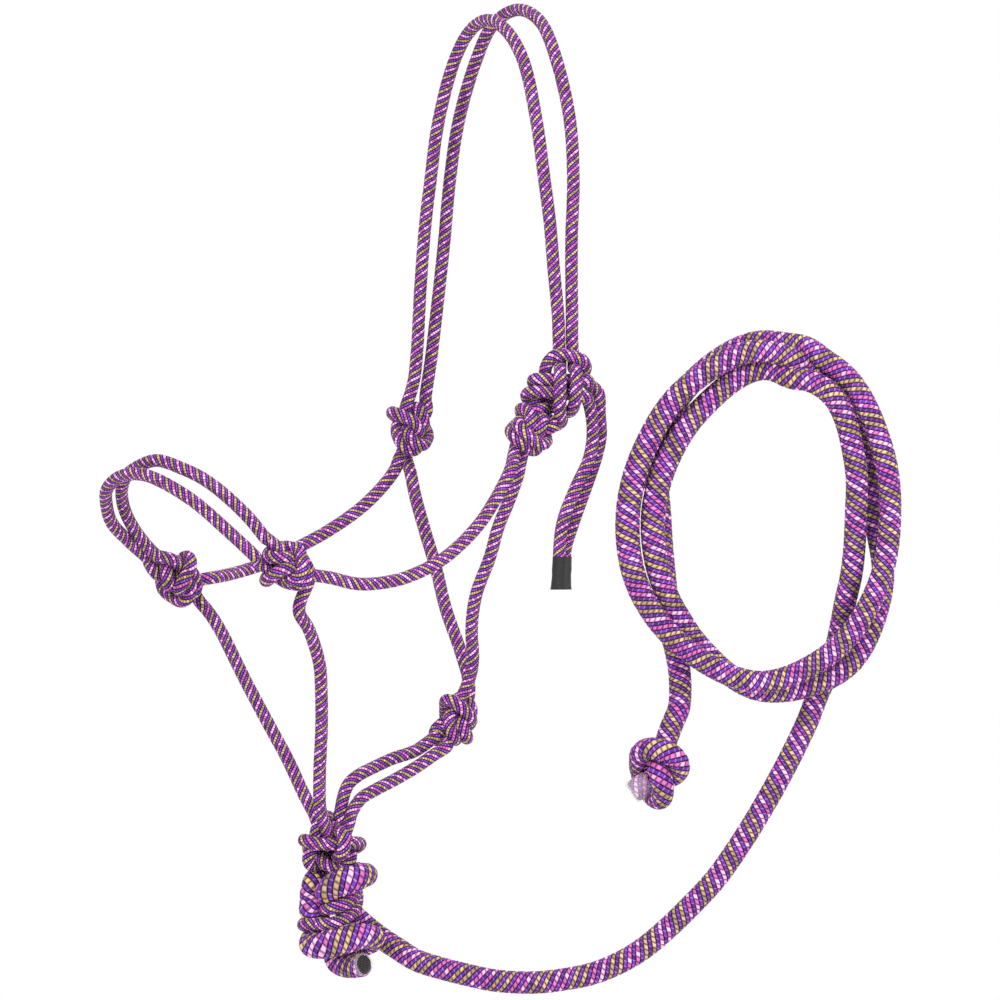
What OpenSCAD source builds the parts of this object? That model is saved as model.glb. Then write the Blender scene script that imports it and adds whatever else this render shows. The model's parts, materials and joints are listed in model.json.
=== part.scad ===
// Rope halter tied from one length of braided cord, worn shape, with a thicker
// coiled lead rope tied into the loops under its chin knot.
// Millimetres. The horse faces -Y, +X is its near (left) side, +Z is up.
// The origin is the point on the poll where the crown rests.

/* [Halter] */
// Size of the whole halter and lead layout, in percent of a full-size halter
size_pct = 100; // [90:1:115]
// Diameter of the braided cord that the halter is tied from
cord_d = 8; // [6:0.5:9]
// Width across a doubled overhand knot, the cheek, nose and throat knots
knot_w = 30; // [24:1:34]

/* [Lead rope] */
// Diameter of the braided lead rope
lead_d = 14; // [10:0.5:15]
// Width of the coil of lead rope, over the outside
coil_w = 182; // [170:1:186]
// Height of the coil of lead rope, over the outside
coil_h = 242; // [230:1:246]
// Thickness of the coil, across its turns
coil_t = 38; // [30:1:40]
// Width of the bundle of turns
coil_band = 34; // [30:1:38]

/* [Tail sleeve] */
// Length of the sleeve shrunk round the two crown tails
sleeve_l = 21; // [15:1:30]
// Width of the sleeve, across the two tails
sleeve_w = 16.5; // [16.5:0.5:20]
// Thickness of the sleeve
sleeve_t = 9.5; // [9.5:0.5:12]
// Turn of the sleeve's width away from the sideways direction, in degrees
sleeve_turn = 120; // [100:5:140]

/* [Hidden] */

cord_sides = 10;
lead_sides = 12;
ball_facets = 16;
round_facets = 64;
scale_f = size_pct / 100;

// The lead hangs in one upright plane, turned this far from the X axis about Z;
// the knots' widths lie along it too.
lead_turn = 56.5;

// Knot centres.
near_cheek_at = [70, -22, -257];
far_cheek_at = [-69, -22, -255];
near_nose_at = [62, -203, -343];
far_nose_at = [-62, -205, -352];
throat_at = [0, -33, -441];
fiador_at = [0, -126, -524];
hitch_at = [73, -2, -229];
lead_hitch_at = [2, -123, -567];
stopper_at = [114, 45, -475];
coil_at = [149, 98, -313];
lead_end_at = [8, -108, -596];
cut_end_at = [103, 28, -493];
sleeve_top_at = [77, -3.5, -338];

// Half width, half depth and half height of the larger knots.
hitch_reach = [14, 15, 24];
fiador_reach = [21, 18, 16];
lead_hitch_reach = [26, 22, 36];
stopper_reach = [20, 18, 22];
// The lead's two ends: how far each runs into its knot, and the cut end's lean from upright.
end_cap_l = 20;
cut_end_l = 24;
cut_end_lean = 36;

// Routes of the cord, knot to knot.
crown_front_route = [[-70, -21, -245], [-70, -18, -210], [-70, -15, -165], [-69, -12, -125],
    [-66, -10, -97], [-57, -10, -60], [-40, -9, -21], [-22, -9, -2], [0, -10, 5],
    [22, -10, -2], [40, -9, -21], [57, -10, -60], [66, -10, -97], [68, -7, -125],
    [68, -4, -155], [67, 0, -185], [67, 2, -208], [70, 1, -220]];
crown_rear_route = [[-70, -16, -251], [-70, -11, -241], [-71, -6, -210], [-71, -1, -174], [-71, 4, -135],
    [-71, 8, -98], [-64, 10, -60], [-47, 12, -21], [-28, 13, 3], [0, 14, 12],
    [28, 13, 3], [47, 12, -21], [64, 11, -60], [71, 9, -98], [72, 7, -135],
    [72, 7, -165], [71, 8, -185], [70, 10, -208], [72, 4, -220]];
near_cheek_route = [[71, -26, -260], [73, -32, -268], [76, -42, -282], [80, -56, -301], [84, -73, -319],
    [86, -98, -338], [84, -118, -348], [81, -134, -353], [76, -157, -355], [71, -175, -351],
    [66, -188, -347], [64, -196, -345]];
far_cheek_route = [[-71, -25, -261], [-73, -30, -270], [-76, -35, -288], [-81, -52, -306], [-84, -77, -322],
    [-85, -96, -331], [-83, -118, -340], [-79, -140, -346], [-74, -161, -350],
    [-69, -178, -352], [-66, -190, -353], [-64, -198, -353]];
near_throat_route = [[69, -24, -267], [67, -30, -284], [62, -34, -302], [54, -37, -319],
    [46, -38, -338], [31, -39, -363], [20, -35, -385], [14, -30, -404], [8, -30, -426],
    [3, -31, -436]];
far_throat_route = [[-69, -20, -267], [-68, -24, -284], [-63, -24, -298], [-52, -24, -320],
    [-41, -22, -346], [-28, -23, -372], [-16, -20, -398], [-8, -21, -424], [-2, -27, -436]];
throat_upper_route = [[-3, -37, -446], [-4, -46, -453], [-4, -62, -462], [-4, -80, -467], [-4, -93, -472],
    [-4, -105, -477], [-4, -114, -484], [-3, -120, -492], [-2, -125, -512]];
throat_lower_route = [[3, -36, -449], [4, -42, -458], [4, -54, -465], [4, -68, -473], [4, -85, -481],
    [4, -99, -487], [4, -110, -493], [5, -118, -501],
    [4, -122, -515]];
noseband_front_route = [[57, -223, -337], [50, -239, -321],
    [39, -255, -304], [23, -267, -292], [5, -273, -286], [-15, -277, -287],
    [-33, -276, -295], [-45, -269, -304], [-55, -259, -316], [-63, -240, -329],
    [-65, -224, -341]];
noseband_rear_route = [[59, -215, -327], [55, -225, -314], [47, -237, -300],
    [36, -247, -289], [22, -255, -282], [5, -262, -277], [-12, -264, -280],
    [-28, -264, -286], [-41, -260, -295], [-50, -253, -306], [-55, -245, -316],
    [-57, -236, -326], [-58, -222, -338]];
near_chin_route = [[61, -204, -349], [60, -200, -360], [60, -196, -364], [57, -188, -372], [53, -179, -383],
    [44, -166, -405], [37, -160, -423], [28, -154, -446], [18, -149, -476],
    [10, -143, -500], [6, -136, -516]];
far_chin_route = [[-60, -198, -360], [-59, -191, -366], [-57, -185, -373], [-53, -179, -384],
    [-41, -167, -417], [-31, -157, -443], [-20, -148, -468], [-11, -141, -491],
    [-4, -133, -515]];
// Where the near cheek knot's two upper ends form the loop that the crown ties to.
eye_loop_route = [[63, -19, -252], [60, -14, -242], [63, -11, -232], [66, -9, -219], [72, -9, -211],
    [81, -3, -208], [85, 6, -212], [83, 12, -216], [77, 11, -222], [71, 3, -233],
    [65, -7, -244], [66, -14, -252]];
tail_front_route = [[80, 14, -238], [80, 17, -248], [80, 18, -260], [80, 15, -276],
    [80, 5, -294], [80, -5, -316], [79, -7, -334], [79, -7, -346]];
tail_rear_route = [[77, 16, -228], [77, 23, -233], [77, 28, -248], [77, 30, -260], [77, 27, -273],
    [77, 17, -293], [76, 7, -318], [75, 0, -334], [75, 0, -346]];
// The two loops below the fiador knot, which the lead is tied round.
loop_front_route = [[-2, -126, -532], [-14, -125, -544], [-16, -127, -554], [-9, -133, -560],
    [3, -137, -562], [12, -135, -562], [15, -128, -558], [11, -118, -555], [3, -113, -550],
    [-1, -114, -540]];
loop_rear_route = [[-8, -129, -530], [-22, -124, -546], [-25, -128, -559], [-18, -136, -568],
    [-5, -142, -571], [8, -138, -572], [13, -129, -569], [7, -117, -564], [-2, -108, -554],
    [-1, -111, -540]];
// The lead from its hitch to where it goes up into the coil.
lead_sweep_route = [[20, -97, -580], [27, -86, -590], [42, -64, -600], [60, -36, -608], [78, -9, -607],
    [95, 16, -600], [108, 36, -587], [122, 57, -568], [132, 73, -547], [143, 89, -521],
    [152, 103, -492], [160, 115, -463], [167, 126, -438]];
lead_tail_route = [[122, 57, -400], [121, 57, -424], [120, 55, -445], [117, 50, -462]];

// ------------------------------------------------------------------ functions

function unit(v) = v / norm(v);
function sized(route) = [for (p = route) p * scale_f];
function tangent(r, i) = unit(r[min(i + 1, len(r) - 1)] - r[max(i - 1, 0)]);
function square_to(v, t) = unit(v - (v * t) * t);
// A side vector at every ring, carried along the route so that the tube doesn't twist.
function sides_along(r) = [
    for (i = 0, s = square_to(abs(tangent(r, 0)[2]) < 0.9 ? [0, 0, 1] : [1, 0, 0], tangent(r, 0));
        i < len(r);
        i = i + 1, s = i < len(r) ? square_to(s, tangent(r, i)) : s) s];
function tube_points(r, d, n) = [
    let (side = sides_along(r))
    for (i = [0 : len(r) - 1], k = [0 : n - 1])
        r[i] + d / 2 * (cos(360 * k / n) * side[i] + sin(360 * k / n) * cross(tangent(r, i), side[i]))];
function tube_walls(m, n) = [
    for (i = [0 : m - 2], k = [0 : n - 1], half = [0, 1])
        let (a = i * n + k, b = i * n + (k + 1) % n)
        half == 0 ? [a, a + n, b] : [b, a + n, b + n]];
function tube_ends(m, n) = [[for (k = [0 : n - 1]) k], [for (k = [n - 1 : -1 : 0]) (m - 1) * n + k]];

// ------------------------------------------------------------------ shared shapes

module swept_tube(route, d, n) {
    r = sized(route);
    polyhedron(points = tube_points(r, d, n), faces = concat(tube_walls(len(r), n), tube_ends(len(r), n)));
}

module cord(route) {
    swept_tube(route, cord_d, cord_sides);
}

// A tied knot as a plain rounded lump: reach is its half width, half depth and half height.
module knot_lump(at, reach, ball) {
    translate(at * scale_f)
        rotate([0, 0, lead_turn])
            hull()
                for (axis = [0, 1, 2], side = [-1, 1])
                    translate([for (k = [0 : 2]) k == axis ? side * (reach[k] - ball / 2) : 0])
                        sphere(d = ball, $fn = ball_facets);
}

module overhand_knot(at) {
    color("mediumpurple") knot_lump(at, [knot_w, knot_w * 0.8, knot_w * 0.92] / 2, 2 * cord_d);
}

// An upright oval with round ends, centred on the origin.
module upright_oval(w, h) {
    for (side = [-1, 1])
        translate([0, side * (h - w) / 2])
            circle(d = w, $fn = round_facets);
    square([w, h - w], center = true);
}

// ------------------------------------------------------------------ crown and cheeks

module crown_front_strand() {
    color("mediumorchid") cord(crown_front_route);
}

module crown_rear_strand() {
    color("orchid") cord(crown_rear_route);
}

module far_cheek_knot() {
    overhand_knot(far_cheek_at);
}

module near_cheek_knot() {
    overhand_knot(near_cheek_at);
}

module eye_loop() {
    color("plum") cord(eye_loop_route);
}

// The crown pair passed through the eye loop, round its legs and under itself.
module halter_hitch() {
    color("mediumpurple") knot_lump(hitch_at, hitch_reach, 2 * cord_d);
}

module near_cheek_strand() {
    color("mediumorchid") cord(near_cheek_route);
}

module far_cheek_strand() {
    color("orchid") cord(far_cheek_route);
}

// ------------------------------------------------------------------ crown tails

module crown_tail_front() {
    color("mediumorchid") cord(tail_front_route);
}

module crown_tail_rear() {
    color("orchid") cord(tail_rear_route);
}

// The sleeve shrunk round both tails, with their ends inside it.
module tail_sleeve() {
    color("#202022")
        translate(sleeve_top_at * scale_f - [0, 0, sleeve_l])
            rotate([0, 0, sleeve_turn])
                linear_extrude(sleeve_l)
                    hull()
                        for (side = [-1, 1])
                            translate([side * (sleeve_w - sleeve_t) / 2, 0])
                                circle(d = sleeve_t, $fn = round_facets / 2);
}

// ------------------------------------------------------------------ throat

module near_throat_strand() {
    color("mediumorchid") cord(near_throat_route);
}

module far_throat_strand() {
    color("orchid") cord(far_throat_route);
}

module throat_knot() {
    overhand_knot(throat_at);
}

module throat_line_upper() {
    color("mediumorchid") cord(throat_upper_route);
}

module throat_line_lower() {
    color("orchid") cord(throat_lower_route);
}

// ------------------------------------------------------------------ nose and chin

module near_nose_knot() {
    overhand_knot(near_nose_at);
}

module far_nose_knot() {
    overhand_knot(far_nose_at);
}

module noseband_front_strand() {
    color("mediumorchid") cord(noseband_front_route);
}

module noseband_rear_strand() {
    color("orchid") cord(noseband_rear_route);
}

module near_chin_strand() {
    color("mediumorchid") cord(near_chin_route);
}

module far_chin_strand() {
    color("orchid") cord(far_chin_route);
}

// The four-strand knot under the chin.
module fiador_knot() {
    color("mediumpurple") knot_lump(fiador_at, fiador_reach, 2 * cord_d);
}

module fiador_loop_front() {
    color("plum") cord(loop_front_route);
}

module fiador_loop_rear() {
    color("plum") cord(loop_rear_route);
}

// ------------------------------------------------------------------ lead rope

// The lead's end wrapped round the fiador loops and tucked under itself.
module lead_hitch() {
    color("slateblue") knot_lump(lead_hitch_at, lead_hitch_reach, 1.6 * lead_d);
}

module lead_end_cap() {
    color("#2a2a2c")
        translate(lead_end_at * scale_f)
            rotate([0, 0, lead_turn])
                rotate([90, 0, 0])
                    cylinder(h = end_cap_l, d = lead_d * 0.9, $fn = round_facets / 2);
}

module lead_sweep() {
    color("slateblue") swept_tube(lead_sweep_route, lead_d, lead_sides);
}

module lead_coil() {
    color("slateblue")
        translate(coil_at * scale_f)
            rotate([0, 0, lead_turn])
                rotate([90, 0, 0])
                    linear_extrude(coil_t, center = true)
                        difference() {
                            upright_oval(coil_w, coil_h);
                            upright_oval(coil_w - 2 * coil_band, coil_h - 2 * coil_band);
                        }
}

module lead_tail() {
    color("slateblue") swept_tube(lead_tail_route, lead_d, lead_sides);
}

module lead_stopper_knot() {
    color("slateblue") knot_lump(stopper_at, stopper_reach, 1.6 * lead_d);
}

module lead_cut_end() {
    color("rebeccapurple")
        translate(cut_end_at * scale_f)
            rotate([0, 0, lead_turn])
                rotate([0, cut_end_lean, 0])
                    cylinder(h = cut_end_l, d = lead_d * 0.95, $fn = round_facets / 2);
}

crown_front_strand();
crown_rear_strand();
far_cheek_knot();
near_cheek_knot();
eye_loop();
halter_hitch();
crown_tail_front();
crown_tail_rear();
tail_sleeve();
near_cheek_strand();
far_cheek_strand();
near_throat_strand();
far_throat_strand();
throat_knot();
throat_line_upper();
throat_line_lower();
near_nose_knot();
far_nose_knot();
noseband_front_strand();
noseband_rear_strand();
near_chin_strand();
far_chin_strand();
fiador_knot();
fiador_loop_front();
fiador_loop_rear();
lead_hitch();
lead_end_cap();
lead_sweep();
lead_coil();
lead_tail();
lead_stopper_knot();
lead_cut_end();
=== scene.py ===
"""Rope halter with a coiled lead rope: the looks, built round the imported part.

Every rope is a centreline in metres. The knots are tied from their own centrelines, all the
centrelines are pushed apart until no rope lies inside another, and each is then swept into a braid.
"""

import json
import math

import bpy
import numpy as np
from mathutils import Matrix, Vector, kdtree


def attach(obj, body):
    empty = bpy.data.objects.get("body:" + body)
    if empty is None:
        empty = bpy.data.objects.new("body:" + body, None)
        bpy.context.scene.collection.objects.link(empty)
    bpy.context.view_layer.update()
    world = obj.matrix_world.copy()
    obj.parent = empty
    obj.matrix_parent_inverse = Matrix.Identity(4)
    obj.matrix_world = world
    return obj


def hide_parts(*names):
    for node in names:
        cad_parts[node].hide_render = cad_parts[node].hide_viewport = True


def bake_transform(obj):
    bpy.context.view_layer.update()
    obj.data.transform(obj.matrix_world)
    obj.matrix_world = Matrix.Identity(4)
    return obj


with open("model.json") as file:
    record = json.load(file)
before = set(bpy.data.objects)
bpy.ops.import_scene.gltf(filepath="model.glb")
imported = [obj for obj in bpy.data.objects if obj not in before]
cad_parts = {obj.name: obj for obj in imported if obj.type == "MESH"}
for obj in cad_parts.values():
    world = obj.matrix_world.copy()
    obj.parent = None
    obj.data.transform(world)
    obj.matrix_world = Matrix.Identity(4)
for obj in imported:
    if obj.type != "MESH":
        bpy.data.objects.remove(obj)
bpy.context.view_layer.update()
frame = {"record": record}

# ---------------------------------------------------------------- sizes, in metres

CORD_D = 0.008
LEAD_D = 0.014
STEP = 0.0025          # spacing of centreline points while the ropes settle
SQUEEZE = 0.93         # ropes that touch are pressed this close, as a share of their diameter

# The upright plane that the lead hangs in: RIGHT lies in it, OUT faces away from the horse.
PLANE_TURN = math.radians(56.5)
RIGHT = np.array([math.cos(PLANE_TURN), math.sin(PLANE_TURN), 0.0])
OUT = np.array([math.sin(PLANE_TURN), -math.cos(PLANE_TURN), 0.0])
UP = np.array([0.0, 0.0, 1.0])


def placed(points):
    """Points given as (along RIGHT, height, along OUT), in the row frame."""
    return np.array([s * RIGHT + z * UP + n * OUT for s, z, n in points])


# ---------------------------------------------------------------- routes between knots

CROWN_FRONT = [
    (-.070, -.018, -.210), (-.070, -.015, -.165), (-.069, -.012, -.125), (-.066, -.010, -.097),
    (-.057, -.010, -.060), (-.040, -.009, -.021), (-.022, -.009, -.002), (0, -.010, .005),
    (.022, -.010, -.002), (.040, -.009, -.021), (.057, -.010, -.060), (.066, -.010, -.097),
    (.068, -.007, -.125), (.068, -.004, -.155), (.067, 0, -.185)]
CROWN_REAR = [
    (-.070, -.011, -.241), (-.071, -.006, -.210), (-.071, -.001, -.174), (-.071, .004, -.135),
    (-.071, .008, -.098), (-.064, .010, -.060), (-.047, .012, -.021), (-.028, .013, .003),
    (0, .014, .012), (.028, .013, .003), (.047, .012, -.021), (.064, .011, -.060), (.071, .009, -.098),
    (.072, .007, -.135), (.072, .007, -.165), (.071, .008, -.185)]
NEAR_CHEEK = [
    (.076, -.042, -.282), (.080, -.056, -.301), (.084, -.073, -.319), (.086, -.098, -.338),
    (.084, -.118, -.348), (.081, -.134, -.353), (.076, -.157, -.355), (.071, -.175, -.351)]
FAR_CHEEK = [
    (-.076, -.035, -.288), (-.081, -.052, -.306), (-.084, -.077, -.322), (-.085, -.096, -.331),
    (-.083, -.118, -.340), (-.079, -.140, -.346), (-.074, -.161, -.350), (-.069, -.178, -.352)]
NEAR_THROAT = [
    (.067, -.030, -.284), (.062, -.034, -.302), (.054, -.037, -.319), (.046, -.038, -.338),
    (.031, -.039, -.363), (.020, -.035, -.385), (.014, -.030, -.404)]
FAR_THROAT = [
    (-.068, -.024, -.284), (-.063, -.024, -.298), (-.052, -.024, -.320), (-.041, -.022, -.346),
    (-.028, -.023, -.372), (-.016, -.020, -.398)]
THROAT_UPPER = [
    (-.004, -.046, -.453), (-.004, -.062, -.462), (-.004, -.080, -.467), (-.004, -.093, -.472),
    (-.004, -.105, -.477), (-.004, -.114, -.484)]
THROAT_LOWER = [
    (.004, -.042, -.458), (.004, -.054, -.465), (.004, -.068, -.473), (.004, -.085, -.481),
    (.004, -.099, -.487), (.004, -.110, -.493)]
NOSEBAND_FRONT = [
    (.057, -.223, -.337), (.050, -.239, -.321), (.039, -.255, -.304), (.023, -.267, -.292),
    (.005, -.273, -.286), (-.015, -.277, -.287), (-.033, -.276, -.295), (-.045, -.269, -.304),
    (-.055, -.259, -.316), (-.063, -.240, -.329), (-.065, -.224, -.341)]
NOSEBAND_REAR = [
    (.059, -.215, -.327), (.055, -.225, -.314), (.047, -.237, -.300), (.036, -.247, -.289),
    (.022, -.255, -.282), (.005, -.262, -.277), (-.012, -.264, -.280), (-.028, -.264, -.286),
    (-.041, -.260, -.295), (-.050, -.253, -.306), (-.055, -.245, -.316), (-.057, -.236, -.326),
    (-.058, -.222, -.338)]
NEAR_CHIN = [
    (.057, -.190, -.371), (.053, -.180, -.383), (.044, -.166, -.405),
    (.037, -.160, -.423), (.028, -.154, -.446), (.018, -.149, -.476), (.010, -.143, -.500)]
FAR_CHIN = [
    (-.059, -.191, -.366), (-.057, -.185, -.373), (-.053, -.179, -.384), (-.041, -.167, -.417),
    (-.031, -.157, -.443), (-.020, -.148, -.468), (-.011, -.141, -.491)]
TAIL_FRONT = [
    (.080, .014, -.238), (.080, .017, -.248), (.080, .018, -.260), (.080, .015, -.276),
    (.080, .005, -.294), (.080, -.005, -.316), (.079, -.007, -.334), (.079, -.007, -.346)]
TAIL_REAR = [
    (.077, .016, -.228), (.077, .024, -.233), (.077, .025, -.248), (.077, .026, -.260),
    (.077, .023, -.273), (.077, .015, -.293), (.076, .005, -.318), (.075, 0, -.334),
    (.075, 0, -.346)]

# Knot centres.
FAR_CHEEK_AT = (-.069, -.022, -.255)
NEAR_CHEEK_AT = (.070, -.022, -.257)
NEAR_NOSE_AT = (.062, -.203, -.343)
FAR_NOSE_AT = (-.062, -.205, -.352)
THROAT_AT = (0, -.033, -.441)
FIADOR_AT = (0, -.126, -.524)
FIADOR_KNOT_AT = (-.003, -.128, -.5235)
FIADOR_POLE = OUT * .87 - RIGHT * .30 - UP * .39
STOPPER_AT = (.114, .045, -.475)

# The halter hitch, as (along RIGHT, height, along OUT). The crown pair comes down behind the
# eye loop's bight, over it to the front, round behind its legs and back out under itself.
HITCH_FRONT = placed([
    (.0375, -.201, .055), (.0378, -.211, .054), (.0382, -.221, .068), (.0382, -.233, .0735),
    (.0380, -.245, .070), (.0365, -.253, .061), (.0310, -.255, .053), (.0240, -.245, .051),
    (.0180, -.238, .054), (.0165, -.234, .061), (.0225, -.233, .065), (.0370, -.234, .066),
    (.0500, -.235, .065)])
HITCH_REAR = placed([
    (.0458, -.203, .055), (.0470, -.213, .054), (.0487, -.223, .068), (.0485, -.234, .073),
    (.0470, -.243, .068), (.0430, -.247, .058), (.0330, -.241, .050), (.0240, -.231, .052),
    (.0210, -.225, .059), (.0270, -.225, .064), (.0390, -.225, .066), (.0510, -.224, .065)])
EYE_LOOP = placed([
    (.0190, -.247, .060), (.0235, -.237, .058), (.0272, -.224, .058), (.0300, -.214, .061),
    (.0370, -.209, .0645), (.0455, -.210, .0645), (.0525, -.214, .062), (.0560, -.219, .058),
    (.0510, -.225, .056), (.0420, -.234, .057), (.0310, -.244, .058), (.0260, -.249, .060)])
TAIL_FRONT_OUT = placed([(.0545, -.236, .064)])
TAIL_REAR_OUT = placed([(.0565, -.225, .063)])

# The two loops under the fiador knot: behind the lead at the left, over it to the right, and up.
LOOP_FRONT = placed([
    (-.1060, -.5320, .0680), (-.1100, -.5440, .0570), (-.1120, -.5540, .0570), (-.1140, -.5600, .0660),
    (-.1120, -.5620, .0780), (-.1060, -.5615, .0850), (-.0980, -.5580, .0830), (-.0925, -.5550, .0740),
    (-.0920, -.5500, .0650), (-.0960, -.5400, .0620)])
LOOP_REAR = placed([
    (-.1120, -.5300, .0640), (-.1130, -.5460, .0500), (-.1150, -.5590, .0500), (-.1180, -.5675, .0600),
    (-.1165, -.5710, .0760), (-.1090, -.5715, .0840), (-.1010, -.5690, .0820), (-.0935, -.5640, .0700),
    (-.0910, -.5540, .0580), (-.0930, -.5400, .0600)])

# The lead's hitch round the fiador loops, from its capped end to where it leaves for the sweep.
LEAD_HITCH = placed([
    (-.0845, -.5965, .0820), (-.0890, -.5975, .0765), (-.0965, -.5990, .0690),
    (-.1050, -.5970, .0600), (-.1085, -.5915, .0560), (-.1010, -.5870, .0540),
    (-.0890, -.5865, .0555), (-.0800, -.5830, .0620), (-.0780, -.5795, .0700),
    (-.0850, -.5780, .0790), (-.0985, -.5810, .0830), (-.1140, -.5850, .0810),
    (-.1240, -.5860, .0720), (-.1170, -.5740, .0680), (-.1170, -.5600, .0700),
    (-.1190, -.5470, .0700), (-.1170, -.5390, .0600), (-.1010, -.5420, .0540),
    (-.0880, -.5435, .0570), (-.0840, -.5400, .0680), (-.0890, -.5400, .0780),
    (-.0990, -.5430, .0830), (-.1100, -.5490, .0830), (-.1145, -.5550, .0760),
    (-.1090, -.5580, .0670), (-.0998, -.5605, .0570), (-.0910, -.5685, .0490),
    (-.0782, -.5797, .0450), (-.0660, -.5870, .0520)])

# The lead from its hitch to where it runs in behind the coil.
SWEEP = placed([
    (-.0540, -.5945, .060), (-.0380, -.5995, .067), (-.0220, -.6035, .070), (-.0060, -.6070, .070),
    (.0095, -.6085, .070), (.0255, -.6085, .070), (.0415, -.6065, .070), (.0570, -.6035, .070),
    (.0730, -.5975, .070), (.0890, -.5885, .070), (.1050, -.5755, .070), (.1205, -.5605, .070),
    (.1365, -.5435, .069), (.1545, -.5180, .067), (.1700, -.4925, .064), (.1840, -.4670, .060),
    (.1960, -.4420, .057)])
SWEEP_BEHIND = placed([
    (.2010, -.4290, .055), (.2080, -.4125, .053), (.2140, -.3955, .053), (.2200, -.3655, .058)])

# The lead's coil at every 30 degrees, counted from the right over the top: how far its centreline
# lies from the coil's centre, and how far in front of the lead's plane.
COIL_CENTRE = (.1652, -.3128, .0702)
COIL_START, COIL_STEP = -30, 30
COIL_REACH = [
    (.0677, -.006), (.0610, .001), (.0697, .004), (.0900, .006), (.0940, -.001), (.0775, .001),
    (.0688, .002), (.0680, .002), (.0735, .000), (.0875, -.006), (.1102, -.006), (.1102, -.004),
    (.0900, -.007), (.0730, -.010), (.0765, -.010), (.0912, -.009), (.1056, .008), (.0947, .007),
    (.0850, .005), (.0841, .005), (.0893, .006), (.0960, .009), (.1049, .009), (.0965, .010),
    (.0865, .008), (.0826, .005), (.0893, .004), (.1055, .001), (.1115, -.008), (.0940, -.010),
    (.0750, -.012), (.0639, -.012), (.0705, -.012)]
LEAD_TAIL_OUT = placed([
    (.1093, -.3846, .058), (.1141, -.4100, .058), (.1147, -.4259, .061), (.1134, -.4367, .065)])

# ---------------------------------------------------------------- curves


def spline(points, step, closed=False):
    """A smooth curve through the points at even steps, and each sample's place among the points."""
    p = np.asarray(points, float)
    if closed:
        p = np.vstack([p[-1:], p, p[:2]])
    else:
        p = np.vstack([2 * p[0] - p[1], p, 2 * p[-1] - p[-2]])
    knot = np.concatenate([[0], np.cumsum(np.sqrt(np.linalg.norm(np.diff(p, axis=0), axis=1)) + 1e-9)])
    dense, place = [], []
    for i in range(1, len(p) - 2):
        t0, t1, t2, t3 = knot[i - 1:i + 3]
        t = np.linspace(t1, t2, 16, endpoint=False)[:, None]
        a1 = (t1 - t) / (t1 - t0) * p[i - 1] + (t - t0) / (t1 - t0) * p[i]
        a2 = (t2 - t) / (t2 - t1) * p[i] + (t - t1) / (t2 - t1) * p[i + 1]
        a3 = (t3 - t) / (t3 - t2) * p[i + 1] + (t - t2) / (t3 - t2) * p[i + 2]
        b1 = (t2 - t) / (t2 - t0) * a1 + (t - t0) / (t2 - t0) * a2
        b2 = (t3 - t) / (t3 - t1) * a2 + (t - t1) / (t3 - t1) * a3
        dense.append((t2 - t) / (t2 - t1) * b1 + (t - t1) / (t2 - t1) * b2)
        place.append(i - 1 + (t[:, 0] - t1) / (t2 - t1))
    dense = np.vstack(dense + [p[-2][None]])
    place = np.concatenate(place + [[len(p) - 3]])
    run = np.concatenate([[0], np.cumsum(np.linalg.norm(np.diff(dense, axis=0), axis=1))])
    count = max(4, int(round(run[-1] / step)))
    at = np.linspace(0, run[-1], count + 1)
    if closed:
        at = at[:-1]
    out = np.stack([np.interp(at, run, dense[:, k]) for k in range(3)], axis=1)
    return out, np.interp(at, run, place)


def tangents(p, closed=False):
    if closed:
        d = np.roll(p, -1, axis=0) - np.roll(p, 1, axis=0)
    else:
        d = np.gradient(p, axis=0)
    return d / np.linalg.norm(d, axis=1)[:, None]


def carried_sides(p):
    """A side vector at every point, carried along the curve without twist."""
    t = tangents(p)
    first = np.cross(t[0], UP if abs(t[0][2]) < 0.9 else RIGHT)
    side = [first / np.linalg.norm(first)]
    for i in range(1, len(p)):
        s = side[-1] - t[i] * (side[-1] @ t[i])
        side.append(s / np.linalg.norm(s))
    return t, np.array(side)


# ---------------------------------------------------------------- tied knots


def push_apart(p, pairs, reach, share):
    """Moves the points of each pair apart where they are closer than reach, by a share of what is missing."""
    i, j = pairs
    gap = p[i] - p[j]
    dist = np.linalg.norm(gap, axis=1) + 1e-9
    near = dist < reach
    if not near.any():
        return
    i, j, gap, dist = i[near], j[near], gap[near], dist[near]
    far = reach[near] if np.ndim(reach) else reach
    move = gap / dist[:, None] * ((far - dist) * 0.5 * share)[:, None]
    for k in range(3):
        p[:, k] += np.bincount(i, move[:, k], len(p)) - np.bincount(j, move[:, k], len(p))


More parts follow.
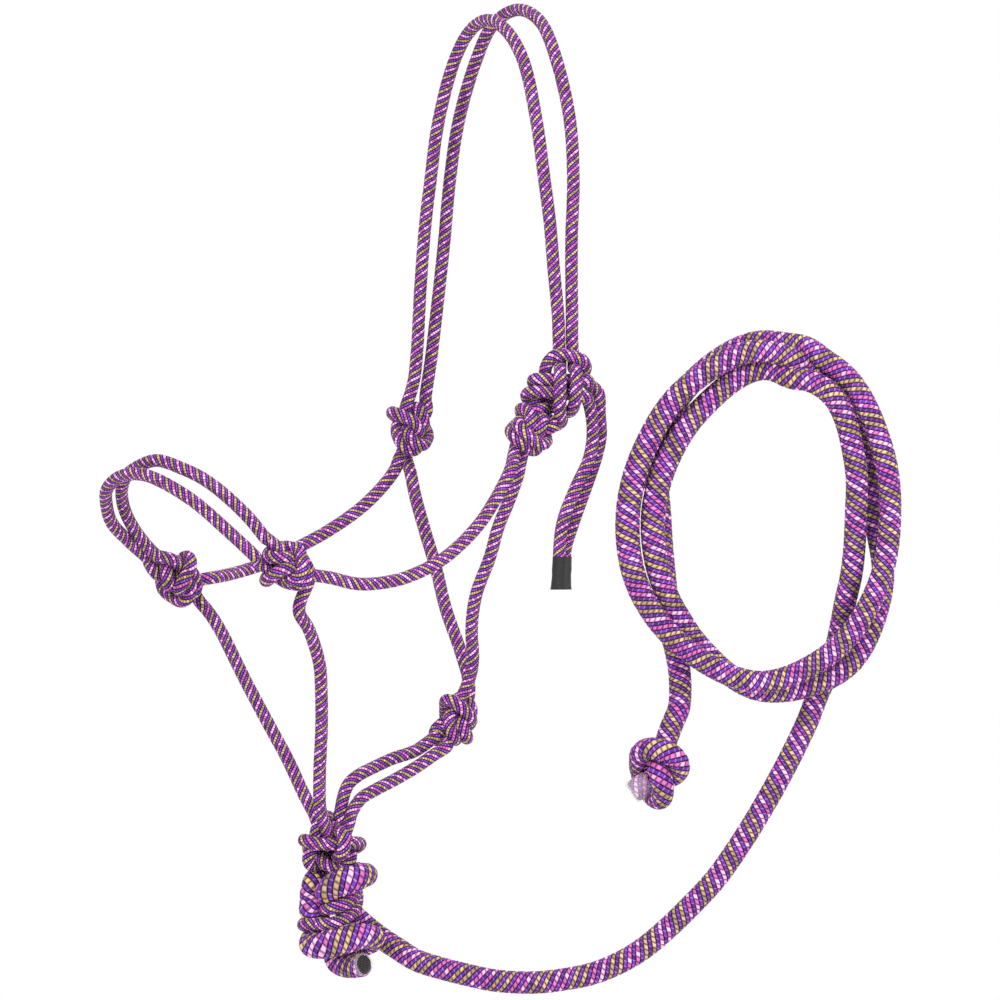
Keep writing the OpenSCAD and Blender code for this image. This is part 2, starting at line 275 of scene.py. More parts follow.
def overhand(strands, d, tight):
    """An overhand knot in one strand or two side by side, pulled tight along X: each strand's points."""
    t = np.linspace(-2.2, 2.2, 240)
    loose = np.stack([t ** 3 - 3 * t, t ** 4 - 4 * t ** 2, (t ** 5 - 10 * t) / 5], axis=1)
    loose *= d * (1.75 if strands == 2 else 1.1)
    loose[:, 1] *= 1.15
    t0, side = carried_sides(loose)
    ropes = [loose + side * d * k for k in ((-0.5, 0.5) if strands == 2 else (0,))]
    step = d * 0.36
    ropes = [spline(r, step)[0] for r in ropes]
    for _ in range(tight):
        sizes = [len(r) for r in ropes]
        p = np.vstack(ropes)
        owner = np.repeat(np.arange(len(ropes)), sizes)
        order = np.concatenate([np.arange(n) for n in sizes])
        i, j = np.triu_indices(len(p), 1)
        keep = (owner[i] != owner[j]) | (np.abs(order[i] - order[j]) > 4)
        close = np.linalg.norm(p[i] - p[j], axis=1) < 1.6 * d
        pairs = (i[keep & close], j[keep & close])
        ends = np.concatenate([[True] + [False] * (n - 2) + [True] for n in sizes])
        held = p[ends].copy()
        inner = np.where(~ends)[0]
        for _ in range(4):
            for _ in range(2):
                p[inner] += 0.8 * ((p[inner - 1] + p[inner + 1]) / 2 - p[inner])
            for _ in range(3):
                push_apart(p, pairs, d * SQUEEZE, 0.7)
            p[ends] = held
        ropes = np.split(p, np.cumsum(sizes)[:-1])
        ropes = [spline(r, step)[0] for r in ropes]
    ex = sum(r[-1] - r[0] for r in ropes)
    ex /= np.linalg.norm(ex)
    middle = np.vstack([r[len(r) * 3 // 10:len(r) * 7 // 10] for r in ropes]).mean(axis=0)
    ey = np.array([0, 1.0, 0]) - ex * ex[1]
    ey /= np.linalg.norm(ey)
    basis = np.stack([ex, ey, np.cross(ex, ey)])
    return [(r - middle) @ basis.T for r in ropes]


def tied(knot, at, along, roll, keep, flip=False):
    """Copies of a knot's strands, centred at a point, their X turned to a direction and rolled about it."""
    x = np.array(along, float)
    x /= np.linalg.norm(x)
    z = OUT - x * (OUT @ x)
    z /= np.linalg.norm(z)
    y = np.cross(z, x)
    c, s = math.cos(math.radians(roll)), math.sin(math.radians(roll))
    y, z = c * y + s * z, c * z - s * y
    out = []
    for r in knot:
        q = r[np.abs(r[:, 0]) < keep]
        if flip:
            q = q * (1, -1, 1)
        out.append(np.array(at) + q @ np.stack([x, y, z]))
    return out


def turks_head(at, pole, d, radius, wide):
    """A Turk's head of 3 leads and 4 bights, one closed strand, on a ball stretched along RIGHT."""
    t = np.linspace(0, 2 * math.pi, 260, endpoint=False)
    turn, rise = 3 * t, 0.98 * np.cos(4 * t)
    out = radius + 0.45 * d * np.sin(8 * t)
    ball = np.stack([out * np.cos(rise) * np.cos(turn), out * np.cos(rise) * np.sin(turn), out * np.sin(rise)], axis=1)
    z = np.array(pole, float)
    z /= np.linalg.norm(z)
    x = np.cross(UP, z)
    x /= np.linalg.norm(x)
    ball = ball @ np.stack([x, np.cross(z, x), z])
    return np.array(at) + ball + np.outer(ball @ RIGHT, RIGHT) * (wide - 1)


# ---------------------------------------------------------------- runs of rope


class Run:
    """One continuous rope: its centreline, and which of its named pieces each point belongs to."""

    def __init__(self, d, parts, closed=False, bulges=()):
        self.d, self.closed = d, closed
        points = np.vstack([p for _, p, _ in parts])
        labels = np.concatenate([[k] * len(p) for k, (_, p, _) in enumerate(parts)])
        self.pieces = [n for n, _, _ in parts]
        free = np.concatenate([[f] * len(p) for _, p, f in parts])
        self.p, place = spline(points, STEP * d / CORD_D, closed)
        near = np.clip(np.round(place).astype(int), 0, len(points) - 1)
        self.label = labels[near]
        self.hold = free[near]
        # A rope fattens where a tight bend packs it together.
        self.girth = np.ones(len(self.p))
        for at, spread, more in bulges:
            self.girth += more * np.exp(-(np.linalg.norm(self.p - at, axis=1) / spread) ** 2)


def settle(runs, rounds):
    """Pushes every rope clear of the others and of itself, keeping each near where it was laid."""
    p = np.vstack([r.p for r in runs])
    d = np.concatenate([r.d * r.girth for r in runs])
    hold = np.concatenate([r.hold for r in runs])[:, None]
    first = np.cumsum([0] + [len(r.p) for r in runs])
    owner = np.concatenate([[k] * len(r.p) for k, r in enumerate(runs)])
    before, after = np.arange(len(p)) - 1, np.arange(len(p)) + 1
    for k, r in enumerate(runs):
        a, b = first[k], first[k + 1] - 1
        before[a], after[b] = (b, a) if r.closed else (a, b)
    laid = p.copy()
    count = np.array([len(r.p) for r in runs])[owner]
    closed = np.array([r.closed for r in runs])[owner]
    spacing = np.array([STEP * r.d / CORD_D for r in runs])[owner]
    for turn in range(rounds):
        if turn % 12 == 0:
            tree = kdtree.KDTree(len(p))
            for k, q in enumerate(p):
                tree.insert(q, k)
            tree.balance()
            found = [(k, j) for k, q in enumerate(p)
                     for _, j, _ in tree.find_range(q, 1.35 * LEAD_D) if j > k]
            i, j = np.array(found).T
            apart = np.abs(i - j)
            apart = np.where(closed[i], np.minimum(apart, count[i] - apart), apart)
            keep = (owner[i] != owner[j]) | (apart * spacing[i] > 1.5 * d[i])
            i, j = i[keep], j[keep]
            reach = (d[i] + d[j]) / 2 * SQUEEZE
        p += 0.25 * (1 - hold) * ((p[before] + p[after]) / 2 - p)
        for _ in range(3):
            push_apart(p, (i, j), reach, 0.55)
        p += hold * 0.5 * (laid - p)
    for k, r in enumerate(runs):
        r.p = p[first[k]:first[k + 1]]


# ---------------------------------------------------------------- braid


class Braid:
    """A rope's braid: its mesh's sides and rings per step, the stripes and crossings round it, its hand."""

    def __init__(self, sides, rings, stripes, crossings, turn_length, hand, relief):
        self.sides, self.rings, self.stripes, self.crossings = sides, rings, stripes, crossings
        self.turn_length, self.hand, self.relief = turn_length, hand, relief


DARK_SHARE = 0.48      # how much of a violet stripe and the light stripe beside it is violet
CORD_BRAID = Braid(sides=28, rings=3, stripes=8, crossings=9, turn_length=0.0196, hand=-1, relief=0.00045)
LEAD_BRAID = Braid(sides=48, rings=4, stripes=8, crossings=7, turn_length=0.0248, hand=1, relief=0.00080)


def swept(run, braid):
    """A run as a braided tube: its centres, its rings (rings, sides, 3), the braid's turns, its directions."""
    p = run.p
    if run.closed:
        ext = np.vstack([p[-1:], p, p[:3]])
        segments = len(p)
    else:
        ext = np.vstack([2 * p[:1] - p[1:2], p, 2 * p[-1:] - p[-2:-1]])
        segments = len(p) - 1
    u = np.arange(braid.rings) / braid.rings
    a, b, c, e = (ext[k:k + segments][:, None, :] for k in range(4))
    u = u[None, :, None]
    mid = 0.5 * (2 * b + (c - a) * u + (2 * a - 5 * b + 4 * c - e) * u ** 2
                 + (3 * b - a - 3 * c + e) * u ** 3)
    centre = mid.reshape(-1, 3)
    centre = np.vstack([centre, p[:1] if run.closed else p[-1:]])
    for _ in range(2):
        centre[1:-1] += 0.3 * ((centre[:-2] + centre[2:]) / 2 - centre[1:-1])
    t, side = carried_sides(centre)
    turns = np.concatenate([[0], np.cumsum(np.linalg.norm(np.diff(centre, axis=0), axis=1))]) / braid.turn_length
    other = np.cross(t, side)
    v = np.arange(braid.sides) / braid.sides
    angle = 2 * math.pi * v
    row = braid.stripes * (v[None, :] + braid.hand * turns[:, None])
    col = braid.crossings * (v[None, :] - braid.hand * turns[:, None])
    pair = (row / 2) % 1
    row = np.where(pair < DARK_SHARE, pair / DARK_SHARE, (pair - DARK_SHARE) / (1 - DARK_SHARE))
    bulge = (1 - (2 * row - 1) ** 4) * 0.65 + (1 - (2 * (col % 1) - 1) ** 4) * 0.35
    girth = np.interp(np.linspace(0, 1, len(centre)), np.linspace(0, 1, len(run.girth)), run.girth)
    radius = run.d / 2 * girth[:, None] + braid.relief * (bulge - 0.7)
    ring = centre[:, None, :] + radius[:, :, None] * (
        np.cos(angle)[None, :, None] * side[:, None, :] + np.sin(angle)[None, :, None] * other[:, None, :])
    return centre, ring, turns, t


def mesh_object(name, verts, faces, uvs=None, material=None):
    mesh = bpy.data.meshes.new(name)
    mesh.from_pydata([tuple(v) for v in verts], [], faces)
    if uvs is not None:
        layer = mesh.uv_layers.new(name="braid")
        layer.data.foreach_set("uv", np.asarray(uvs, np.float32).ravel())
    mesh.polygons.foreach_set("use_smooth", [True] * len(mesh.polygons))
    mesh.update()
    obj = bpy.data.objects.new(name, mesh)
    bpy.context.scene.collection.objects.link(obj)
    if material is not None:
        mesh.materials.append(material)
    return obj


def tube_object(name, ring, turns, material, cap_start=True, cap_end=True):
    """The rings as one closed tube, with the braid's turns and the place round it as its UV map."""
    m, s = ring.shape[:2]
    verts = ring.reshape(-1, 3)
    i, k = np.meshgrid(np.arange(m - 1), np.arange(s), indexing="ij")
    i, k = i.ravel(), k.ravel()
    kk = (k + 1) % s
    quads = np.stack([i * s + k, i * s + kk, (i + 1) * s + kk, (i + 1) * s + k], axis=1)
    u0, u1, v0, v1 = turns[i], turns[i + 1], k / s, (k + 1) / s
    uv = np.stack([u0, v0, u0, v1, u1, v1, u1, v0], axis=1).reshape(-1, 2)
    faces = quads.tolist()
    extra = []
    for at, row, on in ((0, 0, cap_start), (m - 1, m - 1, cap_end)):
        if not on:
            continue
        centre = len(verts)
        verts = np.vstack([verts, ring[at].mean(axis=0)[None]])
        for q in range(s):
            a, b = row * s + q, row * s + (q + 1) % s
            faces.append([b, a, centre] if at == 0 else [a, b, centre])
            extra += [(turns[at], q / s)] * 3
    uvs = np.vstack([uv, np.array(extra).reshape(-1, 2)]) if extra else uv
    return mesh_object(name, verts, faces, uvs, material)


# ---------------------------------------------------------------- materials


class Nodes:
    """Shorthand for building a material's nodes."""

    def __init__(self, name):
        self.mat = bpy.data.materials.new(name)
        self.mat.use_nodes = True
        self.tree = self.mat.node_tree
        self.bsdf = self.tree.nodes["Principled BSDF"]

    def node(self, kind, **props):
        n = self.tree.nodes.new(kind)
        for key, value in props.items():
            setattr(n, key, value)
        return n

    def put(self, value, socket):
        if hasattr(value, "is_output"):
            self.tree.links.new(value, socket)
        else:
            socket.default_value = value

    def math(self, op, a, b=0.0, c=None, clamp=False):
        n = self.node("ShaderNodeMath", operation=op, use_clamp=clamp)
        self.put(a, n.inputs[0])
        self.put(b, n.inputs[1])
        if c is not None:
            self.put(c, n.inputs[2])
        return n.outputs[0]

    def ramp(self, value, low, high, to_low=0.0, to_high=1.0):
        n = self.node("ShaderNodeMapRange", interpolation_type="SMOOTHSTEP")
        for k, v in enumerate((value, low, high, to_low, to_high)):
            self.put(v, n.inputs[k])
        return n.outputs[0]

    def mix(self, share, a, b, blend="MIX"):
        n = self.node("ShaderNodeMix", data_type="RGBA", blend_type=blend)
        self.put(share, n.inputs[0])
        self.put(a, n.inputs[6])
        self.put(b, n.inputs[7])
        return n.outputs[2]

    def noise(self, scale, detail=3.0, vector=None):
        n = self.node("ShaderNodeTexNoise")
        n.inputs["Scale"].default_value = scale
        n.inputs["Detail"].default_value = detail
        if vector is not None:
            self.put(vector, n.inputs["Vector"])
        return n.outputs[0]

    def bump(self, height, strength, distance, normal=None):
        n = self.node("ShaderNodeBump")
        n.inputs["Strength"].default_value = strength
        n.inputs["Distance"].default_value = distance
        self.put(height, n.inputs["Height"])
        if normal is not None:
            self.put(normal, n.inputs["Normal"])
        return n.outputs[0]


def rgb(r, g, b):
    return (r, g, b, 1.0)


VIOLET = rgb(.135, .026, .345)
TICK = rgb(.50, .28, .70)
PINK = rgb(.82, .20, .60)
PALE = rgb(.86, .42, .66)
TAN = rgb(.56, .37, .21)
# Near-black painted shade for the gaps between the strands.
GAP_SHADE = rgb(.016, .001, .020)


def braid_material(name, braid, tan_group, shade_from, bump_depth):
    """A braided rope: violet stripes between light ones of pink and tan picks, with painted shade in the gaps where
    the strands part.
    """
    n = Nodes(name)
    uv = n.node("ShaderNodeUVMap", uv_map="braid").outputs[0]
    xyz = n.node("ShaderNodeSeparateXYZ")
    n.put(uv, xyz.inputs[0])
    along, around = xyz.outputs[0], xyz.outputs[1]
    signed = n.math("MULTIPLY", along, float(braid.hand))
    pair = n.math("MULTIPLY", n.math("ADD", around, signed), braid.stripes / 2)
    col = n.math("MULTIPLY", n.math("SUBTRACT", around, signed), float(braid.crossings))
    pair_cell, col_cell = n.math("FLOOR", pair), n.math("FLOOR", col)
    pair_in, col_in = n.math("SUBTRACT", pair, pair_cell), n.math("SUBTRACT", col, col_cell)
    light = n.math("GREATER_THAN", pair_in, DARK_SHARE)
    row_in = n.math("DIVIDE", n.math("SUBTRACT", pair_in, n.math("MULTIPLY", light, DARK_SHARE)),
                    n.math("MULTIPLY_ADD", light, 1 - 2 * DARK_SHARE, DARK_SHARE))
    row_cell = n.math("MULTIPLY_ADD", pair_cell, 2.0, light)
    # A number that grows along the rope and is the same on both sides of the seam.
    length = n.math("SUBTRACT", n.math("MULTIPLY", row_cell, float(braid.crossings)),
                    n.math("MULTIPLY", col_cell, float(braid.stripes)))
    stripe = n.math("FLOORED_MODULO", pair_cell, braid.stripes / 2)
    where = n.node("ShaderNodeCombineXYZ")
    n.put(stripe, where.inputs[0])
    n.put(length, where.inputs[1])
    n.put(light, where.inputs[2])
    random = n.node("ShaderNodeTexWhiteNoise", noise_dimensions="3D")
    n.put(where.outputs[0], random.inputs["Vector"])
    random = random.outputs[0]
    tan_here = n.math("FLOORED_MODULO", n.math("FLOOR", n.math("DIVIDE", stripe, tan_group)), 2.0)
    pinks = n.mix(n.math("GREATER_THAN", random, 0.52), PINK, PALE)
    lights = n.mix(tan_here, pinks, TAN)
    colour = n.mix(light, VIOLET, lights)
    shade = n.ramp(random, 0.0, 1.0, 0.58, 1.26)
    edge_row = n.math("ABSOLUTE", n.math("SUBTRACT", n.math("MULTIPLY", row_in, 2.0), 1.0))
    edge_col = n.math("ABSOLUTE", n.math("SUBTRACT", n.math("MULTIPLY", col_in, 2.0), 1.0))
    # Painted shade darkens the gaps where the strands part along the stripes and between the picks across them; a
    # violet pick ends in a pale tick instead.
    row_gap_shade = n.ramp(n.math("SUBTRACT", edge_row, n.math("MULTIPLY", light, 0.14)), shade_from, shade_from + 0.36)
    col_gap_shade = n.math("MULTIPLY", n.ramp(edge_col, 0.45, 0.80), n.math("MULTIPLY_ADD", light, 0.05, 0.60))
    tick_here = n.math("MULTIPLY", n.ramp(edge_col, 0.70, 0.82), n.math("SUBTRACT", 1.0, light))
    col_gap_shade = n.math("MULTIPLY", col_gap_shade, n.math("SUBTRACT", 1.0, tick_here))
    # The larger of the two: the painted shade of both kinds of gap together.
    dark = n.math("MAXIMUM", row_gap_shade, col_gap_shade)
    tick = n.math("MULTIPLY", tick_here, 0.80)
    colour = n.mix(tick, colour, TICK)
    fibre = n.math("SINE", n.math("MULTIPLY", row_in, 2 * math.pi * 5))
    fibre_shade = n.math("MULTIPLY_ADD", fibre, 0.06, 1.0)
    value = n.math("MULTIPLY", shade, fibre_shade)
    worn = n.ramp(n.noise(38.0, 4.0), 0.3, 0.7, 0.93, 1.05)
    value = n.math("MULTIPLY", value, worn)
    grey = n.node("ShaderNodeCombineColor")
    for k in range(3):
        n.put(value, grey.inputs[k])
    colour = n.mix(1.0, colour, grey.outputs[0], "MULTIPLY")
    # Painted shade: the colour is pulled to the near-black gap colour where the strands part.
    colour = n.mix(n.math("MULTIPLY", dark, 0.97), colour, GAP_SHADE)
    n.put(colour, n.bsdf.inputs["Base Color"])
    pillow = n.math("MULTIPLY", n.math("SUBTRACT", 1.0, n.math("POWER", edge_row, 3.0)),
                    n.math("SUBTRACT", 1.0, n.math("MULTIPLY", n.math("POWER", edge_col, 4.0), 0.7)))
    height = n.math("ADD", pillow, n.math("MULTIPLY", fibre, 0.05))
    n.put(n.bump(height, 1.0, bump_depth), n.bsdf.inputs["Normal"])
    n.put(n.ramp(dark, 0.0, 1.0, 0.42, 0.8), n.bsdf.inputs["Roughness"])
    n.bsdf.inputs["Specular IOR Level"].default_value = 0.10
    return n.mat


# Each rope's painted gap shade begins at its own place across a stripe.
cord_look = braid_material("halter_cord", CORD_BRAID, tan_group=1.0, shade_from=0.36, bump_depth=0.0006)
lead_look = braid_material("lead_rope", LEAD_BRAID, tan_group=2.0, shade_from=0.48, bump_depth=0.0012)


def sleeve_material():
    """Black heat-shrunk plastic: satin, with fine wrinkles and a dusty bloom."""
    n = Nodes("shrink_sleeve")
    wrinkle = n.noise(420.0, 5.0)
    fine = n.noise(1900.0, 3.0)
    colour = n.mix(n.ramp(wrinkle, 0.35, 0.75), rgb(.008, .0075, .009), rgb(.032, .028, .028))
    n.put(colour, n.bsdf.inputs["Base Color"])
    n.put(n.ramp(fine, 0.2, 0.8, 0.30, 0.55), n.bsdf.inputs["Roughness"])
    first = n.bump(wrinkle, 0.5, 0.0005)
    n.put(n.bump(fine, 0.35, 0.0002, first), n.bsdf.inputs["Normal"])
    n.bsdf.inputs["Specular IOR Level"].default_value = 0.25
    return n.mat


def fused_material(name, dark, light, rough):
    """A melted rope end: fibres fused to a hard crust, mottled."""
    n = Nodes(name)
    blotch = n.noise(520.0, 5.0)
    fine = n.noise(2600.0, 4.0)
    n.put(n.mix(n.ramp(blotch, 0.35, 0.68), dark, light), n.bsdf.inputs["Base Color"])
    n.put(n.ramp(fine, 0.2, 0.8, rough, rough + 0.3), n.bsdf.inputs["Roughness"])
    n.put(n.bump(fine, 0.8, 0.0006, n.bump(blotch, 0.7, 0.0009)), n.bsdf.inputs["Normal"])
    return n.mat


def film_material():
    """The clear skin shrunk over a rope end, cloudy in streaks."""
    n = Nodes("clear_film")
    streak = n.noise(700.0, 3.0)
    n.put(n.mix(n.ramp(streak, 0.3, 0.7), rgb(.62, .50, .60), rgb(.85, .80, .84)), n.bsdf.inputs["Base Color"])
    n.put(n.ramp(streak, 0.35, 0.75, 0.14, 0.46), n.bsdf.inputs["Alpha"])
    n.put(n.ramp(streak, 0.2, 0.8, 0.08, 0.25), n.bsdf.inputs["Roughness"])
    n.put(n.bump(streak, 0.6, 0.0004), n.bsdf.inputs["Normal"])
    return n.mat


sleeve_look = sleeve_material()
crust_look = fused_material("dark_crust", rgb(.004, .0035, .004), rgb(.030, .022, .025), 0.18)
pale_crust_look = fused_material("pale_crust", rgb(.22, .15, .22), rgb(.60, .50, .55), 0.3)
film_look = film_material()

# ---------------------------------------------------------------- the halter, tied from one cord

TIGHTENING, SETTLING = 60, 96      # rounds
pair_knot = overhand(2, CORD_D, TIGHTENING)
single_knot = overhand(1, LEAD_D, TIGHTENING)
KEEP, STOPPER_KEEP = 0.021, 0.030  # how much of a knot is kept each side of its centre


def arr(route):
    return np.array(route, float)


def back(points):
    return points[::-1]


far_cheek = tied(pair_knot, FAR_CHEEK_AT, (-.31, -.16, -.94), 100, KEEP, flip=True)[::-1]
near_cheek = tied(pair_knot, NEAR_CHEEK_AT, (-.17, -.69, -.71), 150, KEEP, flip=True)[::-1]
near_nose = tied(pair_knot, NEAR_NOSE_AT, (.23, .88, -.41), 140, KEEP, flip=True)[::-1]
far_nose = tied(pair_knot, FAR_NOSE_AT, (-.37, .85, -.38), 260, KEEP)
throat = tied(pair_knot, THROAT_AT, (-.31, -.56, -.77), 60, KEEP, flip=True)[::-1]

# How firmly a rope keeps to where it was laid while the ropes settle.
KNOT, HITCH, STRAND, LAID = 0.02, 0.10, 0.35, 0.60
halter_runs = [
    Run(CORD_D, [
        ("crown_tail_front", back(arr(TAIL_FRONT)), STRAND),
        ("halter_hitch", back(np.vstack([HITCH_FRONT, TAIL_FRONT_OUT])), HITCH),
        ("crown_front_strand", back(arr(CROWN_FRONT)), STRAND), ("far_cheek_knot", far_cheek[0], KNOT),
        ("far_cheek_strand", arr(FAR_CHEEK), STRAND), ("far_nose_knot", back(far_nose[0]), KNOT),
        ("noseband_front_strand", back(arr(NOSEBAND_FRONT)), STRAND), ("near_nose_knot", near_nose[0], KNOT),
        ("near_cheek_strand", back(arr(NEAR_CHEEK)), STRAND), ("near_cheek_knot", back(near_cheek[0]), KNOT),
        ("eye_loop", back(EYE_LOOP), HITCH), ("near_cheek_knot", near_cheek[1], KNOT),
        ("near_throat_strand", arr(NEAR_THROAT), STRAND), ("throat_knot", throat[0], KNOT),
        ("throat_line_upper", arr(THROAT_UPPER), STRAND), ("fiador_knot", arr([FIADOR_AT]), STRAND)]),
    Run(CORD_D, [
        ("crown_tail_rear", back(arr(TAIL_REAR)), STRAND),
        ("halter_hitch", back(np.vstack([HITCH_REAR, TAIL_REAR_OUT])), HITCH),
        ("crown_rear_strand", back(arr(CROWN_REAR)), STRAND), ("far_cheek_knot", far_cheek[1], KNOT),
        ("far_throat_strand", arr(FAR_THROAT), STRAND), ("throat_knot", throat[1], KNOT),
        ("throat_line_lower", arr(THROAT_LOWER), STRAND), ("fiador_knot", arr([FIADOR_AT]), STRAND)]),
    Run(CORD_D, [
        ("fiador_knot", arr([FIADOR_AT]), STRAND), ("far_chin_strand", back(arr(FAR_CHIN)), STRAND),
        ("far_nose_knot", back(far_nose[1]), KNOT), ("noseband_rear_strand", back(arr(NOSEBAND_REAR)), STRAND),
        ("near_nose_knot", near_nose[1], KNOT), ("near_chin_strand", arr(NEAR_CHIN), STRAND),
        ("fiador_knot", arr([FIADOR_AT]), STRAND)]),
    Run(CORD_D, [("fiador_loop_front", LOOP_FRONT, HITCH)]),
    Run(CORD_D, [("fiador_loop_rear", LOOP_REAR, HITCH)]),
    Run(CORD_D, [("fiador_knot", turks_head(FIADOR_KNOT_AT, FIADOR_POLE, CORD_D, 0.0135, 1.24), KNOT)],
        closed=True),
]

# ---------------------------------------------------------------- the lead, one rope


def coil_points():
    s0, z0, n0 = COIL_CENTRE
    turn = [math.radians(COIL_START + COIL_STEP * k) for k in range(len(COIL_REACH))]
    return placed([(s0 + r * math.cos(a), z0 + r * math.sin(a), n0 + n)
                   for a, (r, n) in zip(turn, COIL_REACH)])


stopper = tied(single_knot, STOPPER_AT, (-.30, -.45, -.84), 20, STOPPER_KEEP, flip=True)[0]
# Where the lead is fatter: the place, how far it spreads, and by what share.
BULGES = [((-.0980, -.5410, .083), .015, .28), ((-.1040, -.5830, .083), .020, .28),
          ((.0900, -.3000, .075), .070, .10)]
lead = Run(LEAD_D, [
    ("lead_hitch", LEAD_HITCH, HITCH), ("lead_sweep", SWEEP, LAID), ("lead_sweep", SWEEP_BEHIND, LAID),
    ("lead_coil", coil_points(), LAID), ("lead_tail", LEAD_TAIL_OUT, STRAND),
    ("lead_stopper_knot", stopper, KNOT)],
    bulges=[(placed([at])[0], spread, more) for at, spread, more in BULGES])

settle(halter_runs + [lead], SETTLING)

# ---------------------------------------------------------------- pieces

SWINGS = {   # per strand: two bodies, where it would start to follow the swinging body, and where it would follow it fully; only the keys are read, and these strands are baked in place on no body
    "noseband_front_strand": ("halter", "noseband", (0, -.224, -.340), (0, -.250, -.310)),
    "noseband_rear_strand": ("halter", "noseband", (0, -.224, -.330), (0, -.250, -.300)),
    "crown_tail_front": ("halter", "crown_tails", (.08, .012, -.238), (.08, .012, -.264)),
    "crown_tail_rear": ("halter", "crown_tails", (.08, .012, -.238), (.08, .012, -.264)),
}
body_of_node = {n: b for b, nodes in frame["record"]["behaviour"]["bodies"].items() for n in nodes}
used = {}
for run in halter_runs:
    _, ring, turns, _ = swept(run, CORD_BRAID)
    labels = run.label[np.minimum(np.arange(len(ring)) // CORD_BRAID.rings, len(run.label) - 1)]
    cuts = [0] + [k for k in range(1, len(ring)) if labels[k] != labels[k - 1]] + [len(ring) - 1]
    for a, b in zip(cuts[:-1], cuts[1:]):
        if b - a < 2:
            continue
        node = run.pieces[labels[a]]
        used[node] = used.get(node, 0) + 1
        name = "rope." + node + ("" if used[node] == 1 else ".%d" % used[node])
        obj = tube_object(name, ring[a:b + 1], turns[a:b + 1], cord_look,
                          cap_start=a == 0 and not run.closed,
                          cap_end=b == len(ring) - 1 and not run.closed)
        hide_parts(node)
        if node in SWINGS:
            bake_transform(obj)
        else:
            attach(obj, body_of_node[node])

centre, ring, turns, lead_dir = swept(lead, LEAD_BRAID)
lead_obj = tube_object("rope.lead", ring, turns, lead_look)
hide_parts("lead_hitch", "lead_sweep", "lead_coil", "lead_tail", "lead_stopper_knot")
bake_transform(lead_obj)

# ---------------------------------------------------------------- fittings on the rope ends


def ring_faces(rows, sides):
    """The quads between the rows of a skin made of rings."""
    return [[k * sides + q, k * sides + (q + 1) % sides, (k + 1) * sides + (q + 1) % sides,
             (k + 1) * sides + q] for k in range(rows - 1) for q in range(sides)]


def revolved(name, centre, axis, profile, material, wobble, sides=40):
    """A closed skin of rings round an axis; profile is (along the axis, share of the lead's radius)."""
    x = np.array(axis, float)
    x /= np.linalg.norm(x)
    y = np.cross(x, UP if abs(x[2]) < 0.9 else RIGHT)
    y /= np.linalg.norm(y)
    z = np.cross(x, y)
    a = 2 * math.pi * np.arange(sides) / sides
    verts = []
    for k, (h, share) in enumerate(profile):
        r = LEAD_D / 2 * share
        lump = 1 + wobble * (np.sin(3 * a + 1.7 * k) * 0.6 + np.sin(7 * a - 2.3 * k) * 0.4)
        spoke = np.cos(a)[:, None] * y + np.sin(a)[:, None] * z
        verts += list(np.array(centre) + h * x + (r * lump)[:, None] * spoke)
    faces = ring_faces(len(profile), sides)
    for at in (0, len(profile) - 1):
        c = len(verts)
        verts.append(np.array(centre) + profile[at][0] * x)
        for q in range(sides):
            b = [at * sides + q, at * sides + (q + 1) % sides]
            faces.append([b[1], b[0], c] if at == 0 else [b[0], b[1], c])
    return mesh_object(name, verts, faces, material=material)


def on_body(obj, body, node=None):
    """Makes a piece ride a body and, where a node is given, stand for that node by hiding its part."""
    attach(obj, body)
    if node:
        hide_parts(node)
    return obj


# The lead's tied end: a dark melted disc in a clear shrunk skin.
end, out_dir = centre[0], -lead_dir[0]
cap = on_body(revolved("lead_end_crust", end, out_dir, [
    (-.003, .90), (.0002, .93), (.0012, .86), (.0018, .60), (.0016, .25)],
    crust_look, 0.03), "halter", "lead_end_cap")
skin = on_body(revolved("lead_end_film", end, out_dir, [
    (-.011, 1.03), (-.0105, 1.07), (-.002, 1.07), (.0012, 1.05), (.0026, .98), (.0022, .88), (.0006, .86)],
    film_look, 0.015), "halter")
# The lead's free end: cut, sealed and skinned the same way.
tip, tip_dir = centre[-1], lead_dir[-1]
cut = on_body(revolved("lead_cut_crust", tip, tip_dir, [
    (-.003, .90), (.0002, .94), (.0012, .88), (.0014, .50), (.0010, .2)],
    pale_crust_look, 0.04), "halter", "lead_cut_end")
cut_skin = on_body(revolved("lead_cut_film", tip, tip_dir, [
    (-.012, 1.02), (-.0114, 1.07), (-.002, 1.08), (.0014, 1.06), (.0022, .97), (.0016, .86)],
    film_look, 0.02), "halter")

# The sleeve shrunk round both tails, hugging each, with its bottom edge crimped and flared.
SLEEVE_TOP, SLEEVE_LEAN, SLEEVE_SIDES = -.338, .04, 72
tail_a, tail_b = np.array([.079, -.007, 0]), np.array([.075, 0, 0])
mid = (tail_a + tail_b) / 2
wide = (tail_b - tail_a) / np.linalg.norm(tail_b - tail_a)
thin = np.cross(UP, wide)
half = np.linalg.norm(tail_b - tail_a) / 2 * 0.92


def sleeve_ring(z, grow, pinch):
    """One ring of the sleeve: an outline round both tails, drawn in between them by pinch."""
    out = []
    for k in range(SLEEVE_SIDES):
        a = 2 * math.pi * k / SLEEVE_SIDES
        cx = half * math.tanh(3.2 * math.cos(a))
        waist = 1 - pinch * math.exp(-(cx / (half * 0.45)) ** 2)
        lean = RIGHT * SLEEVE_LEAN * (z - SLEEVE_TOP)
        out.append(mid + lean + wide * (cx + grow * math.cos(a)) + thin * grow * math.sin(a) * waist + UP * z)
    return out


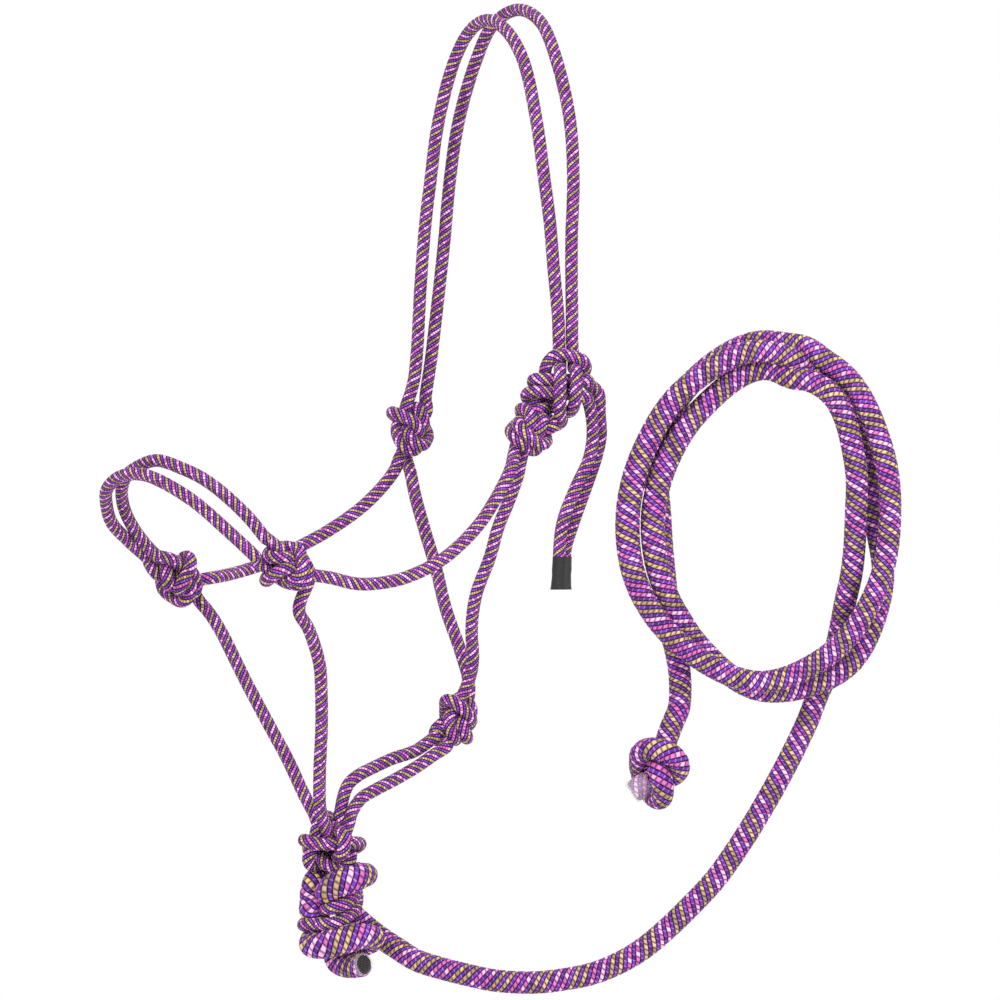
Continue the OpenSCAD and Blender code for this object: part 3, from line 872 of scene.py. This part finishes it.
# Each ring's depth below the sleeve's top, how far it stands off the tails, and its pinch.
SLEEVE_ROWS = [
    (0, .0041, .10), (0, .0045, .10), (-.0006, .0047, .09), (-.004, .0046, .10), (-.008, .0047, .08),
    (-.012, .00465, .09), (-.016, .0048, .07), (-.0188, .0049, .05), (-.0200, .0052, .03),
    (-.0207, .0054, .02), (-.0210, .0051, .02), (-.0204, .0045, .04), (-.0200, .0038, .05)]
SLEEVE_RIPPLE = 0.00012
verts = []
for k, (z, grow, pinch) in enumerate(SLEEVE_ROWS):
    verts += sleeve_ring(SLEEVE_TOP + z, grow + SLEEVE_RIPPLE * math.sin(2.1 * k), pinch)
faces = [f[::-1] for f in ring_faces(len(SLEEVE_ROWS), SLEEVE_SIDES)]
for row, order in ((0, 1), (len(SLEEVE_ROWS) - 1, -1)):
    first, middle = row * SLEEVE_SIDES, len(verts)
    verts.append(np.mean(verts[first:first + SLEEVE_SIDES], axis=0))
    faces += [[first + q, first + (q + 1) % SLEEVE_SIDES, middle][::order] for q in range(SLEEVE_SIDES)]
on_body(mesh_object("tail_sleeve_skin", verts, faces, material=sleeve_look),
        "crown_tails", "tail_sleeve")

# ---------------------------------------------------------------- floor, light and camera


def floor():
    mat = Nodes("floor")
    tone = mat.noise(3.0, 4.0)
    mat.put(mat.mix(tone, rgb(.86, .86, .86), rgb(.90, .90, .90)), mat.bsdf.inputs["Base Color"])
    mat.bsdf.inputs["Roughness"].default_value = 0.7
    size, z = 1.6, -0.70
    corners = [(-size, -size, z), (size, -size, z), (size, size, z), (-size, size, z)]
    mesh_object("floor", corners, [[0, 1, 2, 3]], material=mat.mat)


def area_light(name, at, aim, size, power):
    data = bpy.data.lights.new(name, "AREA")
    data.shape, data.size, data.energy = "DISK", size, power
    obj = bpy.data.objects.new(name, data)
    obj.location = at
    obj.rotation_euler = (Vector(aim) - Vector(at)).to_track_quat("-Z", "Y").to_euler()
    bpy.context.scene.collection.objects.link(obj)


floor()
AIM = (.05, .0, -.30)
area_light("key", tuple(1.6 * OUT - 1.0 * RIGHT + 1.3 * UP), AIM, 0.9, 33)
area_light("fill", tuple(1.8 * OUT + 1.4 * RIGHT + 0.3 * UP), AIM, 1.2, 32)
area_light("rim", tuple(-1.3 * OUT + 0.4 * RIGHT + 1.2 * UP), AIM, 0.8, 8)

world = bpy.data.worlds.new("studio")
world.use_nodes = True
world.node_tree.nodes["Background"].inputs[0].default_value = (1, 1, 1, 1)
world.node_tree.nodes["Background"].inputs[1].default_value = 1.0
bpy.context.scene.world = world
bpy.context.scene.view_settings.view_transform = "Standard"

TARGET = np.array([0, 0, -.302])
CAMERA_AWAY, VIEW_WIDTH, SENSOR = 10.0, 0.640, 36.0
cam_data = bpy.data.cameras.new("camera")
cam_data.sensor_width = SENSOR
cam_data.lens = SENSOR * CAMERA_AWAY / VIEW_WIDTH
cam_data.clip_end = 60.0
cam = bpy.data.objects.new("camera", cam_data)
cam.location = TARGET + CAMERA_AWAY * OUT
cam.rotation_euler = Vector(-OUT).to_track_quat("-Z", "Y").to_euler()
bpy.context.scene.collection.objects.link(cam)
bpy.context.scene.camera = cam
